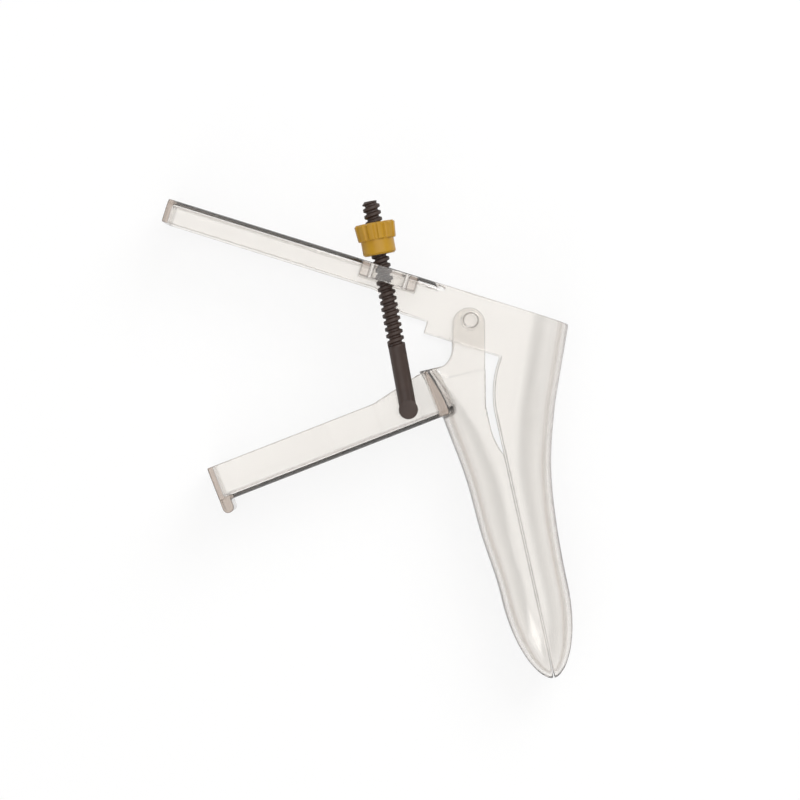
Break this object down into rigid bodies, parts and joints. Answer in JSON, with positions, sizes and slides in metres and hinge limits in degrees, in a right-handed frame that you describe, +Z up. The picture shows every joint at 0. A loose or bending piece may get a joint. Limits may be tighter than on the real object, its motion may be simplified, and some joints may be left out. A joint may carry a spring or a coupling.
{
  "type": "bivalve speculum",
  "caption": "Clear plastic bivalve speculum: curved blades hinged on side studs, channel handles, and a side screw whose fluted nut locks the blades open.",
  "frame": {"origin": "on the flat face the speculum rests on when it lies on its side, straight under the pivot's axis", "axes": "+X along the closed blades towards their tips, +Y towards the upper valve's side of the blades, +Z up along the pivot's axis, towards the side with the screw"},
  "size_m": [0.1594, 0.1109, 0.0398],
  "materials": {
    "clear_plastic": "moulded gloss",
    "screw_plastic": "moulded satin",
    "nut_plastic": "moulded gloss"
  },
  "bodies": {
    "lower": {"lower_valve": "clear_plastic"},
    "upper": {"upper_valve": "clear_plastic"},
    "screw": {"screw_rod": "screw_plastic"},
    "lock_nut": {"nut": "nut_plastic"}
  },
  "joints": [
    {"name": "valve_open", "type": "hinge", "parent": "lower", "child": "upper", "pos_m": [0, 0, 0.015], "axis": [0, 0, 1], "range_deg": [0, 30]},
    {"name": "rod_tilt", "type": "hinge", "parent": "lower", "child": "screw", "pos_m": [0.02113, -0.02307, 0.03395], "axis": [0, 0, 1], "range_deg": [0, 12.7]},
    {"name": "nut_travel", "type": "slide", "parent": "screw", "child": "lock_nut", "axis": [0.9993, -0.0384, 0], "range_m": [0, 0.0148]}
  ],
  "couplings": [
    {"joint": "rod_tilt", "follows": "valve_open", "ratio": 0.42},
    {"joint": "nut_travel", "follows": "valve_open", "m_per_rad": 0.0282}
  ]
}
